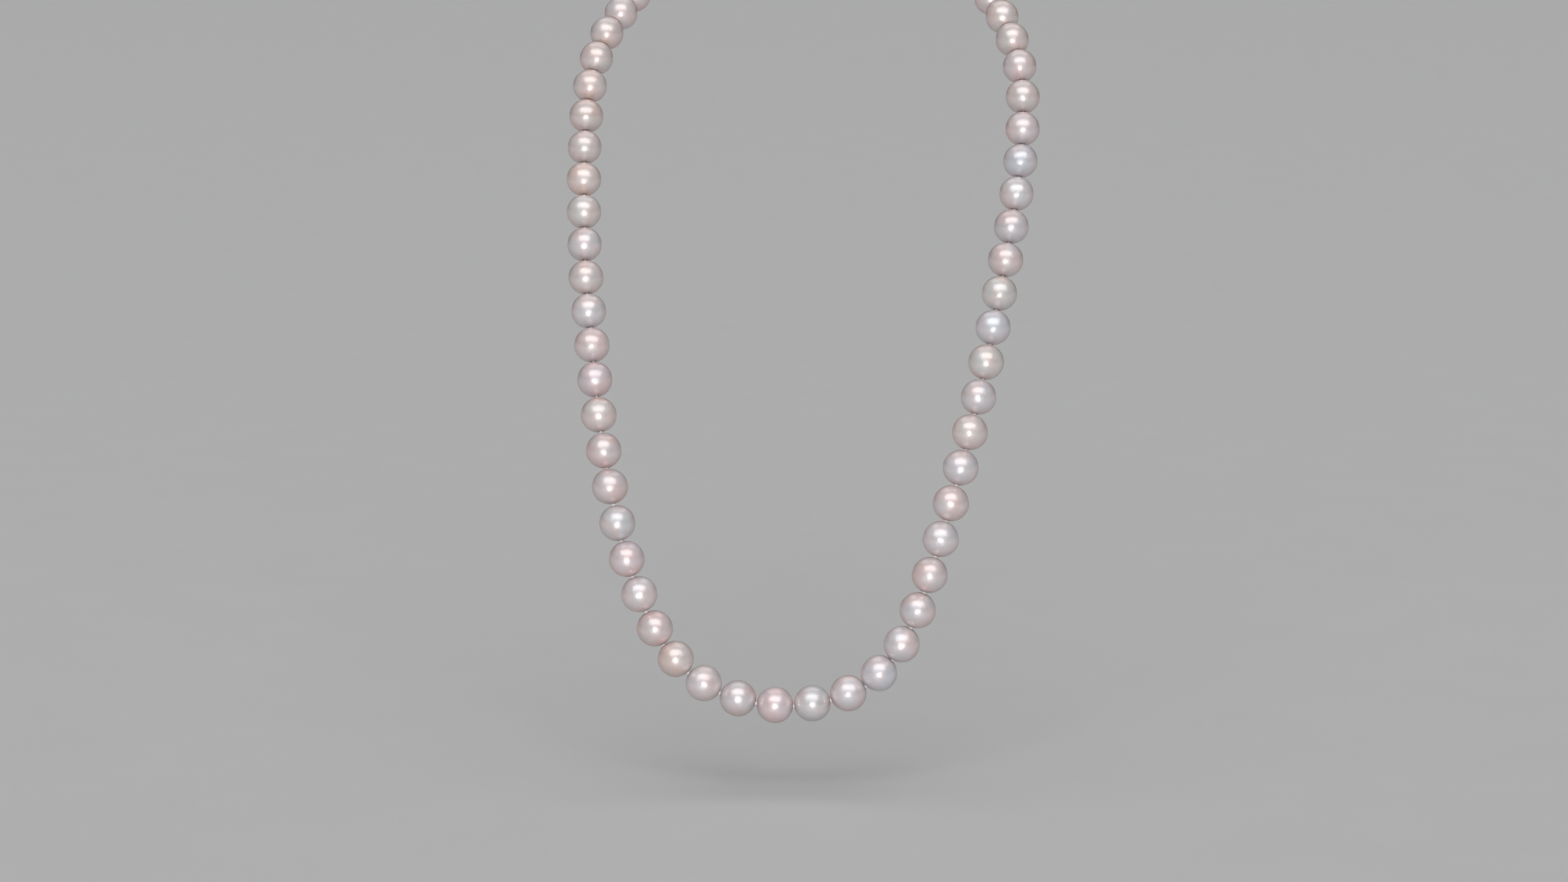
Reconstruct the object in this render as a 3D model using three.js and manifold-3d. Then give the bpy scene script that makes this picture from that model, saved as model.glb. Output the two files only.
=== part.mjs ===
// A knotted pearl necklace in its worn shape: a neck run with a lobster clasp, and a long loop in front.
// Millimetres. +Z is up, the wearer faces -Y, and the origin is on the neck's axis, level with the nape.
// "left" is -X and "right" is +X. Pearls are numbered from the lowest point of the loop upwards.
import * as THREE from 'three'
import { mergeVertices } from 'three/addons/utils/BufferGeometryUtils.js'
import Module from 'manifold-3d'

// Strand
const PEARL_MIDDLE = 8.5 // diameter of the two lowest pearls
const PEARL_END = 7.9 // diameter of the two pearls beside the clasp
const PEARLS_PER_SIDE = 31
const LOOSE_LEFT = 25 // pearls with a node of their own, the rest of a side being its neck run
const LOOSE_RIGHT = 24
const BORE = 0.9 // drill hole
const MOUTH = 1.3 // bevel where the drill breaks out
const BEVEL_DEPTH = 0.3
const THREAD = 0.5
const KNOT = 0.84
const KNOT_HALF = 0.4 // from a knot's middle to where the thread is thin again
const SLEEVE = 1.15 // inside of the sleeve that joins two pearls of a neck run round their knot
const SLEEVE_WALL = 0.3
const KNOT_ROOM = 0.75 // from a knot's middle to where a neck run's bore is narrow again

// Facets
const PEARL_SIDES = 12
const BANDS = 6 // from one mouth of a pearl to the other
const NECK_SIDES = 10
const THREAD_SIDES = 8
const WALL_STEPS = 26 // along the claw's wall
const BAR_STEPS = 12 // along the gate
const RING_STEPS = 24 // round the clasp's two rings
const RING_SIDES = 8
const SPRING_STEPS = 16
const ROUND = 48 // sides of a disc that something sweeps along
const PIN_SIDES = 12

// Clasp
const CLASP_HALF = 10.55 // from the nape to the end knot on each side
const CLAW_X = 1.56 // from the nape to the claw's middle
const CLAW = { a: 4.2, b: 3.1, wall: 1.5, thick: 3.0 } // ellipse of the claw's middle line, and its section
const GATE_FROM = -150 // degrees round the claw, 0 at the nose
const GATE_TO = -26
const OPENING_FROM = -97 // where the claw's wall ends under the gate
const GATE = { wall: 1.2, thick: 1.0, reach: 5.95, gap: 0.15 } // reach is from the pin to the tip
const NUB = [[-3.19, -2.49], [-3.36, -4.67], [-2.46, -4.77], [-1.09, -2.79]] // where a thumb presses
const NOSE_CUT = { x: 4.2, y: -1.6, width: 4, height: 2.4 } // where the gate's tip sweeps past the nose
const PIN_AT = -128
const PIN = 0.7
const PIN_ROOM = { claw: 0.06, gate: 0.08 } // round the pin
const PIN_BOSS = 0.7 // radius of the gate round its pin
const SLOT = { left: -4.31, right: 1.2, top: -0.54, bottom: -4.14, width: 1.9 } // between the claw's cheeks
const TAIL = { x: -6.0, r: 1.7, hole: 0.9, thick: 1.4 }
const JUMP_RING = { r: 2.0, wire: 0.8, x: -8.0, split: 6 } // split in degrees
const CATCH_RING = { r: 2.4, wire: 0.9, x: 4.53 }
const GIMP = { outside: 1.1, inside: 0.72, steps: 12 }
const SPRING = { wire: 0.25, r: 0.8, at: 0.72, from: -60, to: -250, step: 38 } // its turn in degrees
const SPRING_ON_GATE = [1.75, -0.75] // ends of its legs, from the pin
const SPRING_ON_CLAW = [0.75, 0.95]

// The strand's middle line from the left of the clasp, down the left side and up the right.
const ROUTE = [
  [-CLASP_HALF, 42.5, 0], [-20, 39, -0.5], [-28, 33.5, -2], [-35, 26, -4.5], [-39.5, 16.5, -8.5],
  [-42.5, 5, -15], [-48.5, -7, -23], [-51.5, -17.5, -35], [-52, -26.5, -48.5], [-51.5, -35, -63],
  [-50.5, -43.5, -77.5], [-48.5, -51.5, -92], [-46.5, -59, -107], [-43.5, -65, -123],
  [-39.5, -69.2, -139.5], [-32.7, -72.2, -156], [-27.9, -73.4, -163.3], [-21.5, -74.2, -168.7],
  [-13, -74.8, -172.4], [0, -75, -173.8], [13, -74.8, -170.8], [20, -74.4, -166.2],
  [25.2, -73.5, -159], [28.7, -72.4, -151], [33.7, -69, -135.2], [38.3, -64, -119.2],
  [42.5, -58, -103], [46, -51.2, -87.2], [49, -43.5, -72], [51.7, -35.5, -57],
  [53.2, -27.5, -42.5], [52.6, -19, -28.7],
  [49, -8.5, -18.5], [44, 4.5, -11], [40.5, 16, -6.5], [35.5, 26, -3.5],
  [28, 34, -1.5], [19.5, 39.5, -0.4], [CLASP_HALF, 42.5, 0],
].map((p) => new THREE.Vector3(...p))

const nacre = new THREE.MeshStandardMaterial({ color: 0xf1e9e4, roughness: 0.22, metalness: 0 })
const silk = new THREE.MeshStandardMaterial({ color: 0xf4f0ea, roughness: 0.8, metalness: 0 })
const silver = new THREE.MeshStandardMaterial({ color: 0xc9c9cb, roughness: 0.22, metalness: 1 })

const group = new THREE.Group()
const wasm = await Module()
wasm.setup()

// A piece, with a material of its own
function addPiece(name, geometry, material, parent = group) {
  const mesh = new THREE.Mesh(geometry, material.clone())
  mesh.name = name
  parent.add(mesh)
  return mesh
}

function toSolid(geometry) {
  const bare = geometry.clone()
  bare.deleteAttribute('normal')
  bare.deleteAttribute('uv')
  const merged = mergeVertices(bare, 1e-4)
  const vertProperties = new Float32Array(merged.attributes.position.array)
  const triVerts = new Uint32Array(merged.index.array)
  return new wasm.Manifold(new wasm.Mesh({ numProp: 3, vertProperties, triVerts }))
}

function toGeometry(solid) {
  const mesh = solid.getMesh()
  const geometry = new THREE.BufferGeometry()
  geometry.setAttribute('position', new THREE.BufferAttribute(mesh.vertProperties, 3))
  geometry.setIndex(new THREE.BufferAttribute(mesh.triVerts, 1))
  return geometry
}

// Knots, and the pearls that hang between them

const curve = new THREE.CatmullRomCurve3(ROUTE, false, 'centripetal')
curve.arcLengthDivisions = 4000
const routeLength = curve.getLength()

function diameterOf(number) {
  return THREE.MathUtils.lerp(PEARL_MIDDLE, PEARL_END, (number - 1) / (PEARLS_PER_SIDE - 1))
}

// How far along the route its lowest point is, by halving the stretch that holds x = 0
function lowestAlong() {
  let [low, high] = [0.3, 0.7]
  for (let i = 0; i < 40; i++) {
    const u = (low + high) / 2
    if (curve.getPointAt(u).x < 0) low = u
    else high = u
  }
  return low * routeLength
}

// Knots from the lowest point to the clasp. The pearls' own sizes leave the same gap at every knot.
function knotsOf(sign) {
  const middle = lowestAlong()
  const reach = sign < 0 ? middle : routeLength - middle
  let pearls = 0
  for (let n = 1; n <= PEARLS_PER_SIDE; n++) pearls += diameterOf(n)
  const gap = (reach - pearls) / PEARLS_PER_SIDE
  const points = [curve.getPointAt(middle / routeLength)]
  let along = 0
  for (let n = 1; n <= PEARLS_PER_SIDE; n++) {
    along += diameterOf(n) + gap
    const u = THREE.MathUtils.clamp((middle + sign * along) / routeLength, 0, 1)
    points.push(curve.getPointAt(u))
  }
  return points
}

const knots = { left: knotsOf(-1), right: knotsOf(1) }

// A drilled pearl round the Y axis: a sphere's arc, a bevel at each mouth, and the bore.
function pearlGeometry(diameter) {
  const r = diameter / 2
  const mouthAngle = Math.acos(MOUTH / 2 / r)
  const mouthHeight = r * Math.sin(mouthAngle)
  const profile = [new THREE.Vector2(BORE / 2, BEVEL_DEPTH - mouthHeight)]
  for (let i = 0; i <= BANDS; i++) {
    const angle = mouthAngle * ((2 * i) / BANDS - 1)
    profile.push(new THREE.Vector2(r * Math.cos(angle), r * Math.sin(angle)))
  }
  profile.push(new THREE.Vector2(BORE / 2, mouthHeight - BEVEL_DEPTH), profile[0].clone())
  return new THREE.LatheGeometry(profile, PEARL_SIDES)
}

// Puts something made round the Y axis midway between two points, along the line through them.
function placeBetween(object, from, to) {
  const along = to.clone().sub(from).normalize()
  object.position.copy(from).lerp(to, 0.5)
  object.quaternion.setFromUnitVectors(new THREE.Vector3(0, 1, 0), along)
  object.updateMatrix()
  return object
}

function addLoosePearls(side, count) {
  for (let n = 1; n <= count; n++) {
    const name = `pearl_${side}_${String(n).padStart(2, '0')}`
    const mesh = addPiece(name, pearlGeometry(diameterOf(n)), nacre)
    placeBetween(mesh, knots[side][n - 1], knots[side][n])
  }
}

addLoosePearls('left', LOOSE_LEFT)
addLoosePearls('right', LOOSE_RIGHT)

// A run of straight lengths between points, each with a frame that turns as little as it can.
function lengthsOf(points) {
  const side = new THREE.Vector3(0, 0, 1)
  return points.slice(1).map((to, i) => {
    const from = points[i]
    const along = to.clone().sub(from).normalize()
    side.addScaledVector(along, -side.dot(along)).normalize()
    return { from, to, along, side: side.clone(), size: from.distanceTo(to) }
  })
}

// A ring station on one length, at a distance past its middle.
function ringOn(length, past, radius) {
  const centre = length.from.clone().lerp(length.to, 0.5).addScaledVector(length.along, past)
  return { centre, along: length.along, side: length.side, radius }
}

// A ring station on the corner where two lengths meet.
function ringAtCorner(before, after, radius) {
  const along = before.along.clone().add(after.along).normalize()
  return { centre: before.to, along, side: before.side.clone().add(after.side), radius }
}

// A body of revolution bent along its stations. A zero radius closes an end.
function bentLathe(stations, around) {
  const straight = stations.map((s, i) => new THREE.Vector2(s.radius, i))
  const geometry = new THREE.LatheGeometry(straight, around)
  const position = geometry.attributes.position
  for (let turn = 0; turn <= around; turn++) {
    const angle = ((turn % around) / around) * 2 * Math.PI
    stations.forEach(({ centre, along, side, radius }, i) => {
      const u = side.clone().addScaledVector(along, -side.dot(along)).normalize()
      const v = new THREE.Vector3().crossVectors(along, u)
      const point = centre.clone()
      point.addScaledVector(u, radius * Math.cos(angle)).addScaledVector(v, radius * Math.sin(angle))
      position.setXYZ(turn * stations.length + i, point.x, point.y, point.z)
    })
  }
  return geometry
}

// A neck run: pearls joined by a sleeve round each knot between them, hollow right through.
function addNeckRun(side, first) {
  const lengths = lengthsOf(knots[side].slice(first - 1))
  const outside = []
  const inside = []
  lengths.forEach((length, i) => {
    const r = diameterOf(first + i) / 2
    const sleeve = SLEEVE / 2 + SLEEVE_WALL
    const reach = Math.asin(Math.sqrt(r * r - sleeve * sleeve) / r)
    for (let band = 0; band <= BANDS; band++) {
      const angle = reach * ((2 * band) / BANDS - 1)
      outside.push(ringOn(length, r * Math.sin(angle), r * Math.cos(angle)))
    }
    const thin = length.size / 2 - KNOT_ROOM
    inside.push(ringOn(length, -thin, BORE / 2), ringOn(length, thin, BORE / 2))
    if (i < lengths.length - 1) inside.push(ringAtCorner(length, lengths[i + 1], SLEEVE / 2))
  })
  const stations = [...outside, ...inside.reverse(), outside[0]]
  addPiece(`neck_pearls_${side}`, bentLathe(stations, NECK_SIDES), nacre)
}

addNeckRun('left', LOOSE_LEFT + 1)
addNeckRun('right', LOOSE_RIGHT + 1)

// The clasp, lying flat at the nape: x runs from its tail to its nose, y is up, z points at the neck.

const clasp = new THREE.Group()
clasp.position.set(0, ROUTE[0].y, ROUTE[0].z)
clasp.rotation.x = Math.PI / 2
group.add(clasp)
const claw = new THREE.Group()
claw.position.x = CLAW_X
clasp.add(claw)

const radians = THREE.MathUtils.degToRad

function onClaw(degrees, outward = 0) {
  const angle = radians(degrees)
  return new THREE.Vector2((CLAW.a + outward) * Math.cos(angle), (CLAW.b + outward) * Math.sin(angle))
}

// A plate with its middle on z = 0
function plate(outline, thick) {
  const options = { depth: thick, bevelEnabled: false, curveSegments: 14 }
  return new THREE.ExtrudeGeometry(outline, options).translate(0, 0, -thick / 2)
}

function disc(x, y, radius, thick, around = 20) {
  const shape = new THREE.CylinderGeometry(radius, radius, thick, around)
  return shape.rotateX(Math.PI / 2).translate(x, y, 0)
}

// A stretch of the claw's wall, from one angle to another
function wallStretch(from, to, wall, stepsRound) {
  const edge = (outward, start, end) => {
    const points = []
    for (let i = 0; i <= stepsRound; i++) {
      points.push(onClaw(THREE.MathUtils.lerp(start, end, i / stepsRound), outward))
    }
    return points
  }
  return [...edge(wall / 2, from, to), ...edge(-wall / 2, to, from)]
}

// A block as thick as needed, from one corner to the other
function block(left, right, bottom, top, thick) {
  const box = new THREE.BoxGeometry(right - left, top - bottom, thick)
  return box.translate((left + right) / 2, (bottom + top) / 2, 0)
}

const pinPlace = onClaw(PIN_AT)

function pinHole(room) {
  return toSolid(disc(pinPlace.x, pinPlace.y, PIN / 2 + room, CLAW.thick * 2, PIN_SIDES))
}

function clawGeometry() {
  const wall = new THREE.Shape(wallStretch(GATE_TO, 360 + OPENING_FROM, CLAW.wall, WALL_STEPS))
  const tail = disc(TAIL.x, 0, TAIL.r, TAIL.thick)
  const sweep = disc(pinPlace.x, pinPlace.y, GATE.reach + GATE.gap, CLAW.thick * 2, ROUND)
  const { x, y, width, height } = NOSE_CUT
  const nose = block(x - width / 2, x + width / 2, y - height / 2, y + height / 2, CLAW.thick * 2)
  const solid = toSolid(plate(wall, CLAW.thick))
    .add(toSolid(tail))
    .subtract(toSolid(sweep).intersect(toSolid(nose)))
    .subtract(toSolid(disc(TAIL.x, 0, TAIL.hole, TAIL.thick * 2)))
    .subtract(toSolid(block(SLOT.left, SLOT.right, SLOT.bottom, SLOT.top, SLOT.width)))
    .subtract(pinHole(PIN_ROOM.claw))
  return toGeometry(solid)
}

// The gate that closes the claw, with its nub
function triggerGeometry() {
  const bar = new THREE.Shape(wallStretch(GATE_FROM, GATE_TO, GATE.wall, BAR_STEPS))
  const nub = new THREE.Shape(NUB.map((corner) => new THREE.Vector2(...corner)))
  const solid = toSolid(plate(bar, GATE.thick))
    .add(toSolid(plate(nub, GATE.thick)))
    .add(toSolid(disc(pinPlace.x, pinPlace.y, PIN_BOSS, GATE.thick)))
    .intersect(toSolid(disc(pinPlace.x, pinPlace.y, GATE.reach, GATE.thick * 2, ROUND)))
    .subtract(pinHole(PIN_ROOM.gate))
  return toGeometry(solid)
}

addPiece('clasp_claw', clawGeometry(), silver, claw)
addPiece('clasp_trigger', triggerGeometry(), silver, claw)
addPiece('trigger_pin', disc(pinPlace.x, pinPlace.y, PIN / 2, CLAW.thick, PIN_SIDES), silver, claw)

// A wire or tube along a path, with a hole through it if an inside diameter is given
function tubeGeometry(path, steps, outside, inside = 0) {
  const section = new THREE.Shape()
  section.absarc(0, 0, outside / 2, 0, 2 * Math.PI)
  if (inside) {
    const hole = new THREE.Path()
    hole.absarc(0, 0, inside / 2, 0, 2 * Math.PI, true)
    section.holes.push(hole)
  }
  return new THREE.ExtrudeGeometry(section, { steps, curveSegments: 4, extrudePath: path })
}

// The hairpin spring beside the trigger: one leg on the gate, a turn round the pin, one leg on the claw
function springPath() {
  const at = (x, y) => new THREE.Vector3(pinPlace.x + x, pinPlace.y + y, SPRING.at)
  const points = [at(...SPRING_ON_GATE)]
  for (let degrees = SPRING.from; degrees >= SPRING.to; degrees -= SPRING.step) {
    points.push(at(SPRING.r * Math.cos(radians(degrees)), SPRING.r * Math.sin(radians(degrees))))
  }
  points.push(at(...SPRING_ON_CLAW))
  return new THREE.CatmullRomCurve3(points)
}

addPiece('trigger_spring', tubeGeometry(springPath(), SPRING_STEPS, SPRING.wire), silver, claw)

// A ring's middle line in the clasp's x-z plane, open by its split
class RingPath extends THREE.Curve {
  constructor(x, r, split) {
    super()
    Object.assign(this, { x, r, split })
  }

  getPoint(t) {
    const angle = radians(90 + this.split / 2 + t * (360 - this.split))
    return new THREE.Vector3(this.x + this.r * Math.cos(angle), 0, this.r * Math.sin(angle))
  }
}

const jumpPath = new RingPath(JUMP_RING.x, JUMP_RING.r, JUMP_RING.split)
addPiece('jump_ring', tubeGeometry(jumpPath, RING_STEPS, JUMP_RING.wire), silver, claw)
const catchRing = new THREE.TorusGeometry(CATCH_RING.r, CATCH_RING.wire / 2, RING_SIDES, RING_STEPS)
addPiece('catch_ring', catchRing.rotateX(Math.PI / 2).translate(CATCH_RING.x, 0, 0), silver, claw)

// The thread's loop through an end ring: out above the line, round, and back below it.
const LOOP = [[0.95, 0.85], [1.7, 1.25], [2.6, 1.1], [3.2, 0], [2.6, -1.1], [1.7, -1.25], [0.95, -0.85]]

function loopPoints(sign) {
  const shape = LOOP.map(([x, y]) => new THREE.Vector3(sign * (CLASP_HALF - x), y, 0))
  return new THREE.CatmullRomCurve3(shape).getSpacedPoints(GIMP.steps)
}

// A path that takes its points as they are, one to a step
class ThroughPoints extends THREE.Curve {
  constructor(points) {
    super()
    this.points = points
  }

  getPoint(t) {
    const place = t * (this.points.length - 1)
    const i = Math.min(Math.floor(place), this.points.length - 2)
    return this.points[i].clone().lerp(this.points[i + 1], place - i)
  }

  getPointAt(t) {
    return this.getPoint(t)
  }

  getTangentAt(t) {
    return this.getTangent(t)
  }
}

for (const [side, sign] of [['left', -1], ['right', 1]]) {
  const path = new ThroughPoints(loopPoints(sign))
  addPiece(`gimp_${side}`, tubeGeometry(path, GIMP.steps, GIMP.outside, GIMP.inside), silver, clasp)
}

// The silk: one thread from loop to loop, with a knot beside every pearl.
function threadStations() {
  clasp.updateMatrixWorld()
  const toWorld = (points) => points.map((p) => p.clone().applyMatrix4(clasp.matrixWorld))
  const strung = [...knots.left.slice().reverse(), ...knots.right.slice(1)]
  const leftLoop = toWorld(loopPoints(-1)).reverse()
  const rightLoop = toWorld(loopPoints(1))
  const points = [...leftLoop, ...strung, ...rightLoop]
  const lengths = lengthsOf(points)
  const thin = THREAD / 2
  const firstKnot = leftLoop.length
  const lastKnot = firstKnot + strung.length - 1
  const first = lengths[0]
  const stations = [ringOn(first, -first.size / 2, 0), ringOn(first, -first.size / 2, thin)]
  for (let i = 1; i < points.length - 1; i++) {
    const [before, after] = [lengths[i - 1], lengths[i]]
    if (i < firstKnot || i > lastKnot) {
      stations.push(ringAtCorner(before, after, thin))
    } else {
      stations.push(ringOn(before, before.size / 2 - KNOT_HALF, thin))
      stations.push(ringAtCorner(before, after, KNOT / 2))
      stations.push(ringOn(after, KNOT_HALF - after.size / 2, thin))
    }
  }
  const last = lengths[lengths.length - 1]
  stations.push(ringOn(last, last.size / 2, thin), ringOn(last, last.size / 2, 0))
  return stations
}

addPiece('silk_thread', bentLathe(threadStations(), THREAD_SIDES), silk)

export default group
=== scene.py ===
"""A strand of 62 round cultured pearls, knotted on silk, with a silver lobster claw at the nape."""

import math
import random

import bpy
from mathutils import Matrix, Quaternion, Vector, noise


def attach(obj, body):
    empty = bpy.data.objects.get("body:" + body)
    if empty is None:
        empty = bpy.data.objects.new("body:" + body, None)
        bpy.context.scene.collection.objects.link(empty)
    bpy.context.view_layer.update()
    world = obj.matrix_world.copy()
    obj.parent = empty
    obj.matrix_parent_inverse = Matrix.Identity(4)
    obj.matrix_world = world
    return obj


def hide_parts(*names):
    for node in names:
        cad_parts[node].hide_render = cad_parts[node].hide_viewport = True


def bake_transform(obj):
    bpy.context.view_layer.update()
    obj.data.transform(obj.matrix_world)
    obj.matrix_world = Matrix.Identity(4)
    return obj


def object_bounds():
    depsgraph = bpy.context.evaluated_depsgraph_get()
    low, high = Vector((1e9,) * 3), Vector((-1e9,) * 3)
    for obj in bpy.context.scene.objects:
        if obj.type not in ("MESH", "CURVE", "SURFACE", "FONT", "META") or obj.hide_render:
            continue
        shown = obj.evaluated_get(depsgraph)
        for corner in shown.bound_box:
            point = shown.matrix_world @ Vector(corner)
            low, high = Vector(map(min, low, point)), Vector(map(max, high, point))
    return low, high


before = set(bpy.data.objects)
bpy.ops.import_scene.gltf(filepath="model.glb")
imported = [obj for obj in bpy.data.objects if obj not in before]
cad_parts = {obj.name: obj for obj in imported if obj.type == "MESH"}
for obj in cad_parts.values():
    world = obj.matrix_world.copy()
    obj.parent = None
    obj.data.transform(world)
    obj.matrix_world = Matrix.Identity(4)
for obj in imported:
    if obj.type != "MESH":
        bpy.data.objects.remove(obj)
loaded_bounds = [list(corner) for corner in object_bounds()]
MM = 0.001

# ---------------------------------------------------------------- sizes, mm

PEARL_MIDDLE = 8.5
PEARL_END = 7.9
PEARLS_PER_SIDE = 31
LOOSE = {"left": 25, "right": 24}  # pearls that are CAD nodes of their own
ROWS = 24  # rows of one left and one right pearl that swing on a joint
BORE = 0.9
MOUTH = 1.3
THREAD = 0.5

CLASP_AT = Vector((0, 42.5, 0))
CLASP_HALF = 10.55  # from its middle to the last knots
CLAW_X = 1.56
CLAW_A = 4.2  # half the width and height of the claw's oval
CLAW_B = 3.1
CLAW_THICK = 3
PIN_DEGREES = -128
PIN = 0.7
SPRING_R = 0.8
SPRING_WIRE = 0.25
SPRING_AT = 0.72
JUMP_X = -8
JUMP_R = 2
JUMP_WIRE = 0.8
CATCH_X = 4.53
CATCH_R = 2.4
CATCH_WIRE = 0.9
WIRE_SPARE = 0.02  # less than in CAD, so that facets and solder stay inside it
GIMP_OUTSIDE = 1.1
GIMP_WIRE = 0.2
GIMP_PITCH = 1.04  # of the wire

# Points round or along a curved piece
SPRING_STEPS = 10
SPRING_SIDES = 10
RIVET_SIDES = 28
RING_STEPS = 96
RING_SIDES = 20
GIMP_STEPS = 12
GIMP_SIDES = 6

# The strand's middle line, from the clasp's left loop to its right one
LOWEST = 19  # which of these points is between the two lowest pearls
ROUTE_STEPS = 60
ROUTE = [
    (-10.55, 42.5, 0), (-20, 39, -0.5), (-28, 33.5, -2), (-35, 26, -4.5), (-39.5, 16.5, -8.5),
    (-42.5, 5, -15), (-48.5, -7, -23), (-51.5, -17.5, -35), (-52, -26.5, -48.5), (-51.5, -35, -63),
    (-50.5, -43.5, -77.5), (-48.5, -51.5, -92), (-46.5, -59, -107), (-43.5, -65, -123),
    (-39.5, -69.2, -139.5), (-32.7, -72.2, -156), (-27.9, -73.4, -163.3), (-21.5, -74.2, -168.7),
    (-13, -74.8, -172.4), (0, -75, -173.8), (13, -74.8, -170.8), (20, -74.4, -166.2),
    (25.2, -73.5, -159), (28.7, -72.4, -151), (33.7, -69, -135.2), (38.3, -64, -119.2),
    (42.5, -58, -103), (46, -51.2, -87.2), (49, -43.5, -72), (51.7, -35.5, -57),
    (53.2, -27.5, -42.5), (52.6, -19, -28.7), (49, -8.5, -18.5), (44, 4.5, -11), (40.5, 16, -6.5),
    (35.5, 26, -3.5), (28, 34, -1.5), (19.5, 39.5, -0.4), (10.55, 42.5, 0),
]

# ---------------------------------------------------------------- camera

CAMERA_AT = Vector((12.8, -758.2, 20.8)) * MM
CAMERA_PITCH = math.radians(10.92)
CAMERA_YAW = math.radians(-1.288)
CAMERA_ROLL = math.radians(0.278)
SENSOR = 36  # and the lens, in mm
LENS = 69.9
NEAREST = 0.01


def add_camera():
    forward = Vector((
        math.sin(CAMERA_YAW) * math.cos(CAMERA_PITCH),
        math.cos(CAMERA_YAW) * math.cos(CAMERA_PITCH),
        -math.sin(CAMERA_PITCH),
    ))
    right = Vector((math.cos(CAMERA_YAW), -math.sin(CAMERA_YAW), 0))
    up = right.cross(forward)
    right, up = (
        right * math.cos(CAMERA_ROLL) + up * math.sin(CAMERA_ROLL),
        up * math.cos(CAMERA_ROLL) - right * math.sin(CAMERA_ROLL),
    )
    data = bpy.data.cameras.new("camera")
    data.sensor_width = SENSOR
    data.lens = LENS
    data.clip_start = NEAREST
    camera = bpy.data.objects.new("camera", data)
    turn = Matrix((right, up, -forward)).transposed().to_4x4()
    camera.matrix_world = Matrix.Translation(CAMERA_AT) @ turn
    bpy.context.scene.collection.objects.link(camera)
    bpy.context.scene.camera = camera


add_camera()
bpy.context.scene.view_settings.view_transform = "Standard"

# ---------------------------------------------------------------- the route


def span(points, i):
    """The cubic between points i and i + 1 of a centripetal Catmull-Rom line."""
    p1, p2 = points[i], points[i + 1]
    p0 = points[i - 1] if i else p1 * 2 - p2
    p3 = points[i + 2] if i + 2 < len(points) else p2 * 2 - p1
    d0, d1, d2 = ((b - a).length_squared ** 0.25 for a, b in ((p0, p1), (p1, p2), (p2, p3)))
    t1 = ((p1 - p0) / d0 - (p2 - p0) / (d0 + d1) + (p2 - p1) / d1) * d1
    t2 = ((p2 - p1) / d1 - (p3 - p1) / (d1 + d2) + (p3 - p2) / d2) * d1
    return p1, t1, (p2 - p1) * 3 - t1 * 2 - t2, (p1 - p2) * 2 + t1 + t2


def smooth_line(points, steps):
    line = []
    for i in range(len(points) - 1):
        c0, c1, c2, c3 = span(points, i)
        line += [c0 + c1 * t + c2 * t * t + c3 * t**3 for t in (k / steps for k in range(steps))]
    return line + [points[-1]]


class Walk:
    """Points at distances along a line."""

    def __init__(self, line):
        self.line = line
        self.far = [0.0]
        for a, b in zip(line, line[1:]):
            self.far.append(self.far[-1] + (b - a).length)

    def at(self, distance):
        distance = min(max(distance, 0), self.far[-1])
        low, high = 0, len(self.far) - 1
        while high - low > 1:
            middle = (low + high) // 2
            low, high = (middle, high) if self.far[middle] <= distance else (low, middle)
        share = (distance - self.far[low]) / (self.far[high] - self.far[low])
        return self.line[low].lerp(self.line[high], share)


route = Walk(smooth_line([Vector(p) for p in ROUTE], ROUTE_STEPS))


def diameter_of(number):
    return PEARL_MIDDLE + (PEARL_END - PEARL_MIDDLE) * (number - 1) / (PEARLS_PER_SIDE - 1)


def knots_of(sign):
    """Knots from the lowest point to the clasp, with the same gap at every one."""
    middle = route.far[LOWEST * ROUTE_STEPS]
    reach = middle if sign < 0 else route.far[-1] - middle
    gap = (reach - sum(diameter_of(n) for n in range(1, PEARLS_PER_SIDE + 1))) / PEARLS_PER_SIDE
    knots, along = [route.at(middle)], 0
    for n in range(1, PEARLS_PER_SIDE + 1):
        along += diameter_of(n) + gap
        knots.append(route.at(middle + sign * along))
    return knots


KNOTS = {"left": knots_of(-1), "right": knots_of(1)}

# ---------------------------------------------------------------- mesh helpers


def link(name, mesh, material):
    """A smooth-shaded object in the scene, with the material given."""
    thing = bpy.data.objects.new(name, mesh)
    bpy.context.scene.collection.objects.link(thing)
    mesh.materials.clear()
    mesh.materials.append(material)
    mesh.polygons.foreach_set("use_smooth", [True] * len(mesh.polygons))
    return thing


def strip(first, second, around):
    """Faces between two closed rows of vertices, each given by its first number."""
    ahead = [(k + 1) % around for k in range(around)]
    return [(first + k, first + m, second + m, second + k) for k, m in enumerate(ahead)]


def mesh_of(name, vertices, faces):
    """A mesh in metres from vertices in mm."""
    mesh = bpy.data.meshes.new(name)
    mesh.from_pydata([tuple(v * MM) for v in vertices], [], faces)
    mesh.update()
    return mesh


class Solid:
    """Vertices and faces gathered from several bodies."""

    def __init__(self):
        self.vertices = []
        self.faces = []

    def add(self, vertices, faces):
        first = len(self.vertices)
        self.vertices += vertices
        self.faces += [tuple(first + k for k in face) for face in faces]
        return self

    def mesh(self, name):
        return mesh_of(name, self.vertices, self.faces)


def frames_along(line, closed=False):
    """A direction, and two across it that turn as little as they can, at each point."""
    count = len(line)
    side = None
    out = []
    for i in range(count):
        before = line[(i - 1) % count] if closed or i else line[i]
        after = line[(i + 1) % count] if closed or i + 1 < count else line[i]
        along = (after - before).normalized()
        if side is None:
            side = along.orthogonal()
        side = (side - along * side.dot(along)).normalized()
        out.append((along, side.copy(), along.cross(side)))
    return out


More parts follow.
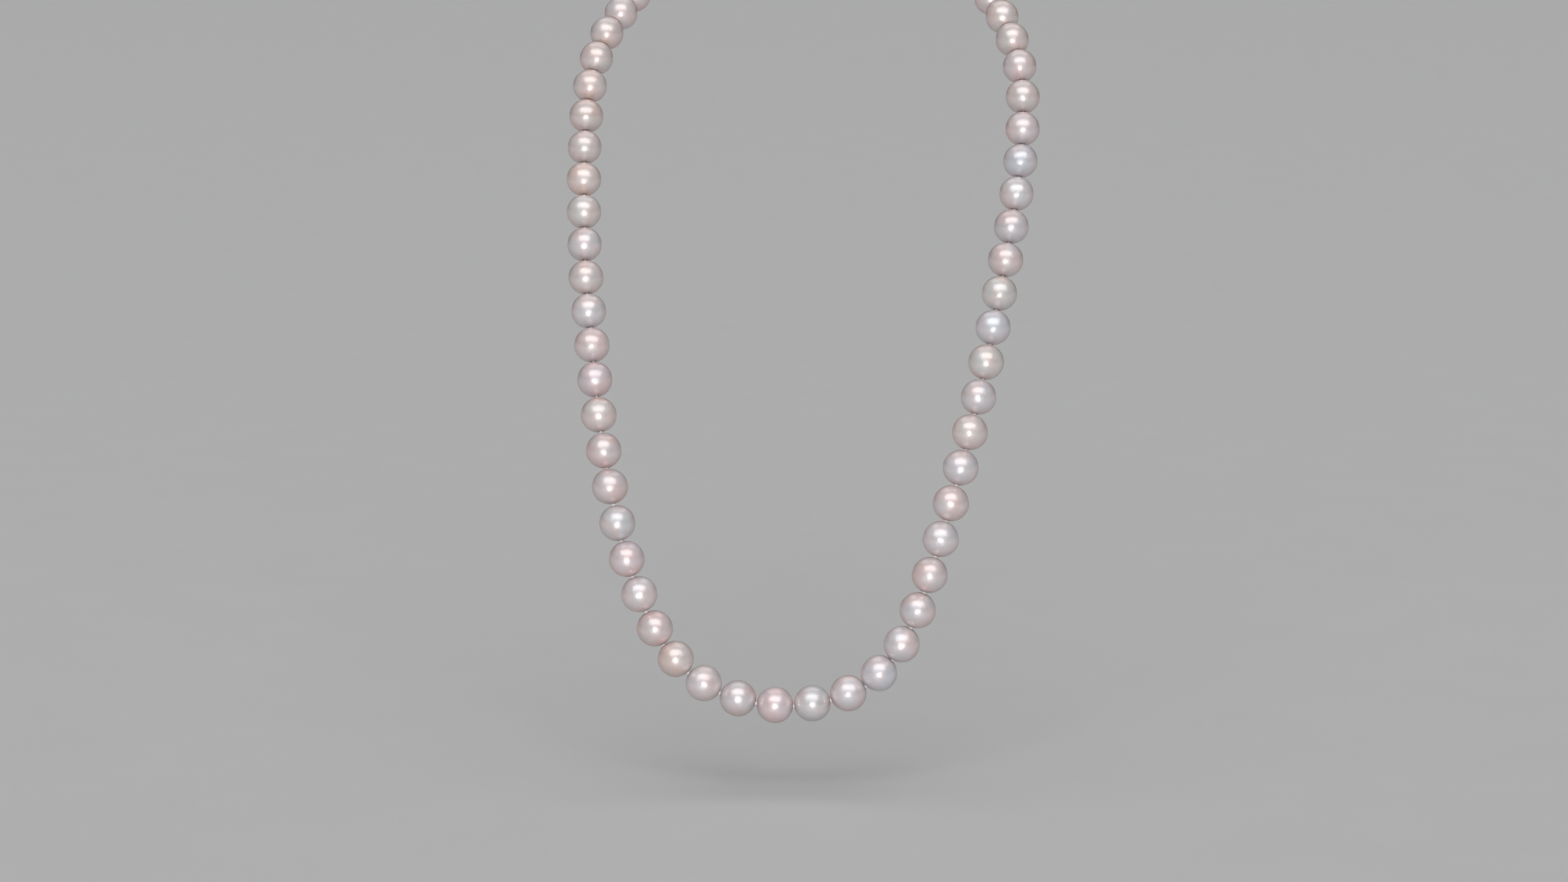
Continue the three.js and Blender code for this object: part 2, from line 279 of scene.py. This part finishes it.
def sweep(line, radius, sides, closed=False, solid=None):
    """A round wire along a line, with flat ends unless it closes on itself."""
    radii = radius if isinstance(radius, list) else [radius] * len(line)
    vertices, faces = [], []
    for point, r, (_, u, v) in zip(line, radii, frames_along(line, closed)):
        for k in range(sides):
            angle = 2 * math.pi * k / sides
            vertices.append(point + u * (r * math.cos(angle)) + v * (r * math.sin(angle)))
    rings = len(line)
    for i in range(rings if closed else rings - 1):
        faces += strip(i * sides, (i + 1) % rings * sides, sides)
    if not closed:
        faces.append(tuple(range(sides))[::-1])
        faces.append(tuple((rings - 1) * sides + k for k in range(sides)))
    return (solid or Solid()).add(vertices, faces)


def coil(line, away, pitch, per_turn, phase=0.0):
    """A helix round a line, with so many points in each turn."""
    walk = Walk(line)
    count = max(2, int(walk.far[-1] / pitch * per_turn))
    middle = [walk.at(walk.far[-1] * i / count) for i in range(count + 1)]
    out = []
    for i, (point, (_, u, v)) in enumerate(zip(middle, frames_along(middle))):
        angle = 2 * math.pi * i / per_turn + phase
        out.append(point + u * (away * math.cos(angle)) + v * (away * math.sin(angle)))
    return out


# ---------------------------------------------------------------- materials


class Nodes:
    """Short names for building a node tree."""

    def __init__(self, name):
        self.material = bpy.data.materials.new(name)
        self.material.use_nodes = True
        self.tree = self.material.node_tree
        self.shader = self.tree.nodes["Principled BSDF"]
        self.place = self.node("ShaderNodeTexCoord").outputs["Object"]

    def node(self, kind, **settings):
        made = self.tree.nodes.new(kind)
        for key, value in settings.items():
            setattr(made, key, value)
        return made

    def put(self, socket, value):
        if isinstance(value, bpy.types.NodeSocket):
            self.tree.links.new(value, socket)
        else:
            socket.default_value = value

    def moved(self, scale, offset=(0, 0, 0)):
        node = self.node("ShaderNodeVectorMath", operation="MULTIPLY_ADD")
        self.put(node.inputs[0], self.place)
        node.inputs[1].default_value = scale
        node.inputs[2].default_value = offset
        return node.outputs[0]

    def math(self, operation, a, b):
        node = self.node("ShaderNodeMath", operation=operation)
        self.put(node.inputs[0], a)
        self.put(node.inputs[1], b)
        return node.outputs[0]

    def noise(self, vector, scale, detail=2.0, roughness=0.5):
        node = self.node("ShaderNodeTexNoise")
        self.put(node.inputs["Vector"], vector)
        node.inputs["Scale"].default_value = scale
        node.inputs["Detail"].default_value = detail
        node.inputs["Roughness"].default_value = roughness
        return node.outputs["Fac"]

    def range(self, value, low, high, to_low=0.0, to_high=1.0, smooth=False):
        kind = "SMOOTHSTEP" if smooth else "LINEAR"
        node = self.node("ShaderNodeMapRange", interpolation_type=kind)
        names = ("Value", "From Min", "From Max", "To Min", "To Max")
        for name, given in zip(names, (value, low, high, to_low, to_high)):
            self.put(node.inputs[name], given)
        return node.outputs["Result"]

    def mix(self, share, a, b):
        node = self.node("ShaderNodeMix", data_type="RGBA")
        self.put(node.inputs["Factor"], share)
        for name, colour in (("A", a), ("B", b)):
            sockets = [s for s in node.inputs if s.name == name and s.type == "RGBA"]
            linked = isinstance(colour, bpy.types.NodeSocket)
            self.put(sockets[0], colour if linked else (*colour, 1))
        return [s for s in node.outputs if s.type == "RGBA"][0]

    def bump(self, height, distance):
        """Adds relief, where a height of 1 stands out by the distance in mm."""
        node = self.node("ShaderNodeBump")
        node.inputs["Strength"].default_value = 1.0
        node.inputs["Distance"].default_value = distance * MM
        self.put(node.inputs["Height"], height)
        if self.shader.inputs["Normal"].links:
            self.put(node.inputs["Normal"], self.shader.inputs["Normal"].links[0].from_socket)
        self.put(self.shader.inputs["Normal"], node.outputs["Normal"])

    def set(self, **values):
        for key, value in values.items():
            self.put(self.shader.inputs[key.replace("_", " ")], value)
        return self.material


# The outer nacre, which warms a pearl's rim, where it is seen through at a slant
COAT_TINT = (0.95, 0.85, 0.83)
FACE_ON = 0.62  # how much of that tint already shows in the middle of a pearl

# Overtones of nacre, as a body colour and the shade that it drifts to
OVERTONES = {
    "cream": ((0.675, 0.583, 0.582), (0.72, 0.655, 0.675)),
    "rose": ((0.685, 0.575, 0.59), (0.715, 0.638, 0.672)),
    "peach": ((0.69, 0.588, 0.56), (0.72, 0.65, 0.638)),
    "ivory": ((0.68, 0.59, 0.572), (0.72, 0.656, 0.652)),
    "green": ((0.66, 0.615, 0.595), (0.70, 0.66, 0.653)),
    "blue": ((0.635, 0.61, 0.642), (0.68, 0.655, 0.692)),
    "silver": ((0.665, 0.603, 0.613), (0.71, 0.66, 0.68)),
    "white": ((0.66, 0.623, 0.63), (0.70, 0.668, 0.683)),
}
# Pearls whose overtone stands out in the photo. Every other pearl draws its own.
SEEN = {
    "rose": "left_01 left_07 left_12",
    "peach": "left_04 left_20 right_10",
    "ivory": "left_11 left_15 left_19 left_21 left_22 left_23 right_20 right_22 right_23",
    "green": "left_17 right_12 right_14",
    "blue": "right_03 right_13 right_18",
    "silver": "left_02 left_03 left_06 left_14 left_16 right_02 right_04 right_07 right_11 right_16",
    "white": "left_08 right_01 right_17",
}
OVERTONE_OF = {pearl: overtone for overtone, pearls in SEEN.items() for pearl in pearls.split()}
DRAWN_FROM = ["cream", "cream", "cream", "silver", "peach"]

# Orient: one side of a pearl leans to blue and green, another to peach
ORIENT_MIDDLE = 0.5
ORIENT = ((0.36, (0.92, 1.03, 1.07)), (0.64, (1.07, 0.95, 0.91)))
ORIENT_SHARE = 0.65
SPECK = 0.86  # how bright a speck is, and how dark a pit's painted shade is, against the body colour
PIT_SHADE = 0.55


def pits(n, place):
    """How deep in a pit a place is, from 0 to 1. A pit is in the middle of one cell in a few."""
    cells = n.node("ShaderNodeTexVoronoi", feature="F1")
    n.put(cells.inputs["Vector"], place)
    cells.inputs["Scale"].default_value = 0.5
    chance = n.node("ShaderNodeSeparateColor")
    n.put(chance.inputs[0], cells.outputs["Color"])
    wobble = n.math("MULTIPLY", n.noise(place, 3.0), 0.05)
    away = n.math("ADD", cells.outputs["Distance"], wobble)
    near = n.range(away, 0.045, 0.12, 1.0, 0.0, smooth=True)
    return n.math("MULTIPLY", near, n.range(chance.outputs[0], 0.8, 0.84))


def nacre(name, overtone, rng):
    """One pearl's nacre. Noise has scales in 1/mm, and bumps are in mm."""
    n = Nodes(f"nacre_{name}")
    offset = tuple(rng.uniform(-50, 50) for _ in range(3))
    place = n.moved((1 / MM,) * 3, offset)
    body, drift = (
        Vector(c / t**FACE_ON for c, t in zip(seen, COAT_TINT)) * rng.uniform(0.85, 0.91)
        for seen in OVERTONES[overtone]
    )
    clouds = n.noise(place, 0.22, 3.0, 0.6)
    colour = n.mix(n.range(clouds, 0.35, 0.65), body, drift)
    orient = n.noise(place, 0.2, 1.0)
    for full, lean in ORIENT:
        leaning = Vector(c * k for c, k in zip(body, lean))
        colour = n.mix(n.range(orient, ORIENT_MIDDLE, full, 0.0, ORIENT_SHARE), colour, leaning)
    specks = n.noise(place, 1.4, 4.0, 0.65)
    colour = n.mix(n.range(specks, 0.3, 0.75, 0.0, 0.28), colour, body * SPECK)
    pit = pits(n, place)
    # Painted shade: a pit's colour is darkened in its hollow
    colour = n.mix(n.math("MULTIPLY", pit, 0.35), colour, body * PIT_SHADE)
    n.bump(n.noise(place, 0.4, 1.5), 0.14)
    n.bump(n.noise(place, 1.6, 2.5, 0.55), 0.018)
    n.bump(n.noise(place, 9.0, 2.0, 0.7), 0.0012)
    n.bump(n.math("MULTIPLY", pit, -1.0), 0.03)
    return n.set(
        Base_Color=colour,
        Metallic=0.45,
        Specular_Tint=(0.70, 0.42, 0.32, 1),
        Roughness=n.range(clouds, 0.3, 0.7, 0.34, 0.42),
        Coat_Weight=0.75,
        Coat_Roughness=0.2,
        Coat_Tint=(*COAT_TINT, 1),
        Coat_IOR=1.75,
    )


def silk_material():
    n = Nodes("silk")
    place = n.moved((1 / MM,) * 3)
    fibres = n.noise(place, 9.0, 4.0, 0.7)
    tone = n.noise(place, 0.8)
    colour = n.mix(n.range(fibres, 0.3, 0.7), (0.84, 0.76, 0.74), (0.95, 0.91, 0.895))
    colour = n.mix(n.range(tone, 0.35, 0.7, 0.0, 0.35), colour, (0.82, 0.72, 0.68))
    n.bump(fibres, 0.03)
    return n.set(Base_Color=colour, Roughness=0.62, Sheen_Weight=0.3, Sheen_Roughness=0.4)


def silver_material(name, roughness, brushed=False, tone=1.0):
    """Silver with patina, fine scratches, and a darkening in its hollows that is part patina and part
    painted shade. The tone darkens all of it.
    """
    bright, patina_tone, scratch_tone, tarnish_and_shade = (
        Vector(c) * tone
        for c in ((0.88, 0.87, 0.85), (0.70, 0.67, 0.62), (0.6, 0.58, 0.55), (0.22, 0.20, 0.19))
    )
    n = Nodes(name)
    place = n.moved((1 / MM,) * 3)
    stretched = n.moved((0.5 / MM, 6 / MM, 6 / MM) if brushed else (1 / MM, 5 / MM, 1 / MM))
    patina = n.noise(place, 0.7, 4.0, 0.6)
    scratches = n.noise(stretched, 2.2, 5.0, 0.75)
    colour = n.mix(n.range(patina, 0.45, 0.75, 0.0, 0.5), bright, patina_tone)
    colour = n.mix(n.range(scratches, 0.58, 0.75, 0.0, 0.3), colour, scratch_tone)
    # Darker in hollows and between coils, found by pointiness: part patina, part painted shade
    bent = n.node("ShaderNodeNewGeometry").outputs["Pointiness"]
    uneven = n.math("ADD", bent, n.math("MULTIPLY", patina, 0.02))
    hollow = n.range(uneven, 0.495, 0.512, 0.75, 0.0, smooth=True)
    colour = n.mix(hollow, colour, tarnish_and_shade)
    n.bump(scratches, 0.006)
    n.bump(n.noise(place, 1.3), 0.02)
    rough = n.range(patina, 0.3, 0.75, roughness, roughness + 0.16)
    return n.set(Base_Color=colour, Metallic=1.0, Roughness=rough)


# ---------------------------------------------------------------- pearls

AROUND = 72
BANDS = 46
OVAL = 0.012  # how much longer than round one side is at most
LUMPS = ((0.22, 0.07), (0.6, 0.018))  # scale and height of the noise that makes a pearl uneven
PROUD = 0.01  # how much larger than its CAD arc a pearl is on average
SKIN = 0.9  # lumps are only this far out, as a share of the radius, so that the bore stays round
BORE_HALF = 0.45  # where the bore's wall is parted, as a share of the radius
BORE_EDGE = 0.34  # how deep the worn edge of a mouth goes
WORN_EDGE = ((0.86, 0.12), (0.97, 0.02))  # share of the mouth's radius and depth, in two steps
ABOUT_A_TURN = 6.28


def pearl_profile(r, mouth):
    """The outline from the bore's middle over one mouth, round the outside and back, as x and z."""
    top = math.acos(mouth / r)
    edge = r * math.sin(top)
    inside = [(BORE / 2, -r * BORE_HALF), (BORE / 2, BORE_EDGE - edge)]
    inside += [(mouth * share, depth - edge) for share, depth in WORN_EDGE]
    angles = [top * (2 * i / BANDS - 1) for i in range(BANDS + 1)]
    outside = [(r * math.cos(angle), r * math.sin(angle)) for angle in angles]
    return inside + outside + [(x, -z) for x, z in inside[::-1]]


def pearl_mesh(name, diameter, rng):
    """A drilled pearl round its own z: slightly oval and lumpy, with a worn edge at each mouth."""
    r = diameter / 2
    mouth = MOUTH / 2 + rng.uniform(-0.1, 0.02)
    profile = pearl_profile(r, mouth)
    oval = rng.uniform(-OVAL, OVAL)
    seed = Vector([rng.uniform(-99, 99) for _ in range(3)])
    vertices, faces = [], []
    for x, z in profile:
        for k in range(AROUND):
            angle = 2 * math.pi * k / AROUND
            p = Vector((x * math.cos(angle), x * math.sin(angle), z))
            if p.length > r * SKIN:
                lump = sum(height * noise.noise(p * scale + seed) for scale, height in LUMPS)
                p *= 1 + (lump + PROUD) / r
                p.x *= 1 + oval
                p.y *= 1 - oval
            vertices.append(p)
    for i in range(len(profile)):
        faces += strip(i * AROUND, (i + 1) % len(profile) * AROUND, AROUND)
    return mesh_of(name, vertices, faces)


def add_pearl(side, number, body, node):
    name = f"{side}_{number:02d}"
    rng = random.Random(name)
    below, above = KNOTS[side][number - 1], KNOTS[side][number]
    overtone = OVERTONE_OF.get(name) or rng.choice(DRAWN_FROM)
    mesh = pearl_mesh(f"nacre_{name}", diameter_of(number), rng)
    pearl = link(f"nacre_{name}", mesh, nacre(name, overtone, rng))
    spin = Quaternion((0, 0, 1), rng.uniform(0, ABOUT_A_TURN))
    turn = (above - below).to_track_quat("Z", "Y") @ spin
    pearl.matrix_world = Matrix.Translation((above + below) / 2 * MM) @ turn.to_matrix().to_4x4()
    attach(pearl, body)
    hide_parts(node)


ROOT = "neck_and_clasp_rings"


def body_of(number):
    return f"row_{number:02d}" if number <= ROWS else ROOT


for side in ("left", "right"):
    for number in range(1, PEARLS_PER_SIDE + 1):
        own = number <= LOOSE[side]
        node = f"pearl_{side}_{number:02d}" if own else f"neck_pearls_{side}"
        add_pearl(side, number, body_of(number), node)

# ---------------------------------------------------------------- silk

silk = silk_material()
PLY = 0.14  # radius of one ply, in the thread and in a knot
KNOT_PLY = 0.12
PLY_SIDES = 6
TWIST = 1.1  # length of one turn of the plies
TWIST_STEPS = 14
KNOT_SIZE = 0.115  # a third of its widest radius
KNOT_HALF = 0.16  # half of its length
KNOT_STEPS = 44
KNOT_TURN = 1.7  # between one knot and the next, so that no two look alike
BEND_HALF = 0.8  # from a knot to each end of the stretch round it


def knot_line(at, along, across, turn):
    """An overhand knot pulled tight round the thread."""
    u = (across - along * across.dot(along)).normalized()
    v = along.cross(u)
    line = []
    for i in range(KNOT_STEPS):
        t = 2 * math.pi * i / KNOT_STEPS
        x = math.sin(t + turn) + 2 * math.sin(2 * t + turn)
        y = math.cos(t + turn) - 2 * math.cos(2 * t + turn)
        line.append(at + (u * x + v * y) * KNOT_SIZE + along * (math.sin(3 * t) * KNOT_HALF))
    return line


def thread(line, knots, solid=None):
    """Two plies twisted round each other, with a knot at each of the points given."""
    solid = solid or Solid()
    for phase in (0.0, math.pi):
        ply = coil(line, THREAD / 2 - PLY, TWIST, TWIST_STEPS, phase)
        sweep(ply, PLY, PLY_SIDES, solid=solid)
    for i, (at, along) in enumerate(knots):
        knot = knot_line(at, along, along.orthogonal(), i * KNOT_TURN)
        sweep(knot, KNOT_PLY, PLY_SIDES, closed=True, solid=solid)
    return solid


def add_silk(name, solid, body=None, bend=None):
    piece = link(name, solid.mesh(name), silk)
    if bend:
        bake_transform(piece)
    else:
        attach(piece, body)
    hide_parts("silk_thread")


def middle_of(side, number):
    """The middle of a pearl."""
    return (KNOTS[side][number - 1] + KNOTS[side][number]) / 2


for side in ("left", "right"):
    for number in range(1, ROWS + 1):
        low, knot, high = middle_of(side, number), KNOTS[side][number], middle_of(side, number + 1)
        along = (high - low).normalized()
        solid = thread([low, knot, high], [(knot, along)])
        ends = ((knot + along * BEND_HALF) * MM, (knot - along * BEND_HALF) * MM)
        bend = (body_of(number + 1), body_of(number), *ends)
        add_silk(f"silk_{side}_{number:02d}", solid, bend=bend)

bottom = [middle_of("left", 1), KNOTS["left"][0], middle_of("right", 1)]
along = (bottom[2] - bottom[0]).normalized()
add_silk("silk_lowest", thread(bottom, [(bottom[1], along)]), "row_01")

# ---------------------------------------------------------------- clasp

# The clasp lies flat at the nape. Its own x runs from -X to +X, its y is up, its z is at the neck.


def at_nape(x, y, z, shift=CLAW_X):
    return CLASP_AT + Vector((x + shift, -z, y))


# The thread's loop through an end ring, from the last knot, as x towards the middle and y
LOOP = [
    (0.95, 0.85), (1.7, 1.25), (2.6, 1.1), (3.2, 0), (2.6, -1.1), (1.7, -1.25), (0.95, -0.85),
]
LOOP_STEPS = 8


def loop_line(sign):
    shape = [Vector((sign * (CLASP_HALF - x), y, 0)) for x, y in LOOP]
    return [at_nape(*p, shift=0) for p in smooth_line(shape, LOOP_STEPS)]


silver = silver_material("cast_silver", 0.16, tone=0.84)
ring_silver = silver_material("drawn_silver", 0.12, tone=0.86)
gimp_silver = silver_material("gimp_silver", 0.24, tone=0.84)
steel = silver_material("spring_steel", 0.26, brushed=True, tone=0.72)

for side, sign in (("left", -1), ("right", 1)):
    loop = loop_line(sign)
    first = ROWS + 1
    strung = [middle_of(side, first)] + KNOTS[side][first:]
    knots = []
    for before, knot, after in zip(strung, strung[1:], strung[2:] + strung[-1:]):
        knots.append((knot, (after - before).normalized()))
    solid = thread(strung, knots)
    thread([KNOTS[side][-1], *loop, KNOTS[side][-1]], [], solid)
    add_silk(f"silk_neck_{side}", solid, ROOT)
    wire = coil(loop, (GIMP_OUTSIDE - GIMP_WIRE) / 2, GIMP_WIRE * GIMP_PITCH, GIMP_STEPS)
    solid = sweep(wire, GIMP_WIRE / 2, GIMP_SIDES)
    gimp = link(f"coiled_gimp_{side}", solid.mesh("gimp"), gimp_silver)
    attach(gimp, ROOT)
    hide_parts(f"gimp_{side}")


FLAT = math.radians(2)
SHARP = math.radians(40)
ROUNDED = 4  # segments of a rounded edge
VOXEL = 0.065


def cast(name, node, body, rounding, softening):
    """A casting of the CAD node's own shape, with its edges worn round. It is worked on in mm."""
    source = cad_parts[node].data.copy()
    source.transform(Matrix.Scale(1 / MM, 4))
    blank = bpy.data.objects.new(name, source)
    bpy.context.scene.collection.objects.link(blank)
    flats = blank.modifiers.new("flats", "DECIMATE")
    flats.decimate_type = "DISSOLVE"
    flats.angle_limit = FLAT
    edges = blank.modifiers.new("edges", "BEVEL")
    edges.limit_method = "ANGLE"
    edges.angle_limit = SHARP
    edges.width = rounding
    edges.segments = ROUNDED
    remesh = blank.modifiers.new("remesh", "REMESH")
    remesh.mode = "VOXEL"
    remesh.voxel_size = VOXEL
    worn = blank.modifiers.new("worn", "SMOOTH")
    worn.factor = 0.5
    worn.iterations = softening
    bpy.context.view_layer.update()
    shaped = blank.evaluated_get(bpy.context.evaluated_depsgraph_get())
    mesh = bpy.data.meshes.new_from_object(shaped)
    bpy.data.objects.remove(blank)
    mesh.transform(Matrix.Scale(MM, 4))
    piece = link(name, mesh, silver)
    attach(piece, body)
    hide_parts(node)


cast("cast_claw", "clasp_claw", "clasp", 0.42, 24)
cast("cast_trigger", "clasp_trigger", "trigger", 0.16, 6)


def revolve(profile, centre):
    """A body of revolution whose axis is the clasp's z."""
    vertices, faces = [], []
    for x, z in profile:
        for k in range(RIVET_SIDES):
            angle = 2 * math.pi * k / RIVET_SIDES
            out = centre[0] + x * math.cos(angle), centre[1] + x * math.sin(angle)
            vertices.append(at_nape(*out, z))
    last = (len(profile) - 1) * RIVET_SIDES
    for first in range(0, last, RIVET_SIDES):
        faces += strip(first, first + RIVET_SIDES, RIVET_SIDES)
    faces.append(tuple(range(RIVET_SIDES))[::-1])
    faces.append(tuple(last + k for k in range(RIVET_SIDES)))
    return Solid().add(vertices, faces)


pin_angle = math.radians(PIN_DEGREES)
pin_place = CLAW_A * math.cos(pin_angle), CLAW_B * math.sin(pin_angle)
half = CLAW_THICK / 2
# One head of the rivet, as radius and height
head = [(0.12, -half - 0.02), (0.26, -half + 0.01), (0.36, -half + 0.07), (PIN / 2, -half + 0.16)]
rivet = head + [(PIN / 2, 0)] + [(x, -z) for x, z in head[::-1]]
rivet_piece = link("rivet", revolve(rivet, pin_place).mesh("rivet"), ring_silver)
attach(rivet_piece, "clasp")
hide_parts("trigger_pin")

# One leg of the spring, its bend round the pin and the other leg, from the pin's middle
hairpin = [(1.75, -0.75)]
for degrees in range(-60, -251, -38):
    angle = math.radians(degrees)
    hairpin.append((SPRING_R * math.cos(angle), SPRING_R * math.sin(angle)))
hairpin.append((0.75, 0.95))
line = [at_nape(pin_place[0] + x, pin_place[1] + y, SPRING_AT) for x, y in hairpin]
solid = sweep(smooth_line(line, SPRING_STEPS), SPRING_WIRE / 2, SPRING_SIDES)
spring = link("hairpin_spring", solid.mesh("spring"), steel)
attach(spring, "clasp")
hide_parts("trigger_spring")


SPLIT_WORN = 0.12  # how much thinner the wire is at a worn split
SPLIT_REACH = 0.05  # how far round that goes, in radians
SOLDER_REACH = 0.14


def bell(away, reach):
    """1 at the middle, and next to nothing at twice the reach."""
    return math.exp(-((away / reach) ** 2))


def ring(name, node, x, r, wire, split=0.0, solder=0.0):
    """A round wire ring in the clasp's x-z plane, with a hairline gap or a swelling of solder on top."""
    count = RING_STEPS + 1 if split else RING_STEPS
    line, radii = [], []
    for i in range(count):
        angle = math.radians(90 + split / 2) + math.radians(360 - split) * i / RING_STEPS
        away = abs(math.remainder(angle - math.radians(90), 2 * math.pi))
        worn = SPLIT_WORN * bell(away, SPLIT_REACH) if split else 0
        line.append(at_nape(x + r * math.cos(angle), 0, r * math.sin(angle)))
        radii.append(wire / 2 * (1 + solder * bell(away, SOLDER_REACH)) * (1 - worn))
    solid = sweep(line, radii, RING_SIDES, closed=not split)
    piece = link(name, solid.mesh(name), ring_silver)
    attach(piece, ROOT)
    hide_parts(node)


ring("split_jump_ring", "jump_ring", JUMP_X, JUMP_R, JUMP_WIRE - WIRE_SPARE, split=3)
ring("soldered_catch_ring", "catch_ring", CATCH_X, CATCH_R, CATCH_WIRE - WIRE_SPARE, solder=0.035)

# ---------------------------------------------------------------- floor, light


FLOOR_DROP = 17  # from the lowest pearl, so that the strand swings clear of the floor
FLOOR_HALF = 2e4
GRAIN = 40  # of the floor, in 1/m
AIM = Vector((0, -0.03, -0.09))  # about the middle of the strand, in metres
WIDE = 60  # how many degrees across a sun is
COOL = (0.965, 0.985, 0.99)


def add_floor():
    low = loaded_bounds[0][2] / MM - FLOOR_DROP
    corners = [
        Vector((x * FLOOR_HALF, y * FLOOR_HALF, low))
        for x, y in ((-1, -1), (1, -1), (1, 1), (-1, 1))
    ]
    n = Nodes("pale_floor")
    grain = n.noise(n.moved((GRAIN,) * 3), 1.0, 3.0)
    pale = n.set(Base_Color=n.mix(grain, (0.6, 0.6, 0.603), (0.62, 0.62, 0.622)), Roughness=0.85)
    floor = link("floor", mesh_of("floor", corners, [(0, 1, 2, 3)]), pale)
    return floor


def direction(azimuth, elevation):
    """Towards a light from the object: azimuth 0 is in front, at -Y, and 90 is at +X."""
    a, e = math.radians(azimuth), math.radians(elevation)
    return Vector((math.sin(a) * math.cos(e), -math.cos(a) * math.cos(e), math.sin(e)))


def place_light(data, away, distance, receivers):
    """Aims a light at the strand. It reaches what one collection says, or everything for None."""
    light = bpy.data.objects.new(data.name, data)
    turn = away.to_track_quat("Z", "Y").to_matrix().to_4x4()
    light.matrix_world = Matrix.Translation(AIM + away * distance) @ turn
    light.visible_camera = False
    light.light_linking.receiver_collection = receivers
    bpy.context.scene.collection.objects.link(light)
    return light


def add_softbox(name, azimuth, elevation, distance, size, power, colour=(1, 1, 1)):
    data = bpy.data.lights.new(name, "AREA")
    data.shape = "RECTANGLE"
    data.size, data.size_y = size
    data.energy = power
    data.color = colour
    place_light(data, direction(azimuth, elevation), distance, all_but_floor)


def add_sun(name, azimuth, elevation, strength, receivers):
    """Even light from far away."""
    data = bpy.data.lights.new(name, "SUN")
    data.angle = math.radians(WIDE)
    data.energy = strength
    return place_light(data, direction(azimuth, elevation), 1.0, receivers)


def floor_list(name, state):
    """A collection that says whether a light reaches the floor."""
    linking = bpy.data.collections.new(name)
    linking.objects.link(floor)
    linking.collection_objects[0].light_linking.link_state = state
    return linking


floor = add_floor()
all_but_floor = floor_list("all_but_floor", "EXCLUDE")
floor_only = floor_list("floor_only", "INCLUDE")
add_softbox("softbox", 0, 54, 1.05, (1.5, 0.7), 7, COOL)
add_softbox("lamp", 0, -1, 0.85, (0.1, 0.1), 3.3, COOL)
add_softbox("back_softbox", 180, 65, 1.05, (1.2, 0.7), 2.2)
add_sun("floor_light", 0, 80, 0.9, floor_only)
# Fill lights, which gloss doesn't mirror: azimuth, elevation, strength and what they reach
for name, azimuth, elevation, strength, receivers in (
    ("key", 0, 38, 1.5, None),
    ("back", 180, 12, 4.2, all_but_floor),
    ("left_side", -90, 12, 0.6, all_but_floor),
    ("right_side", 90, 12, 0.6, all_but_floor),
):
    add_sun(name, azimuth, elevation, strength, receivers).visible_glossy = False


def add_dome():
    """Light from all round, brighter from above than from the horizon."""
    world = bpy.data.worlds.new("studio")
    bpy.context.scene.world = world
    world.use_nodes = True
    tree = world.node_tree
    height = tree.nodes.new("ShaderNodeSeparateXYZ")
    towards = tree.nodes.new("ShaderNodeTexCoord").outputs["Generated"]
    tree.links.new(towards, height.inputs[0])
    rise = tree.nodes.new("ShaderNodeMapRange")
    rise.interpolation_type = "SMOOTHSTEP"
    limits = {"From Min": 0.05, "From Max": 0.65, "To Min": 0.05, "To Max": 0.15}
    for socket, value in limits.items():
        rise.inputs[socket].default_value = value
    tree.links.new(height.outputs["Z"], rise.inputs["Value"])
    background = tree.nodes["Background"]
    background.inputs["Color"].default_value = (0.97, 0.98, 1.0, 1)
    tree.links.new(rise.outputs["Result"], background.inputs["Strength"])


add_dome()

bpy.context.view_layer.update()
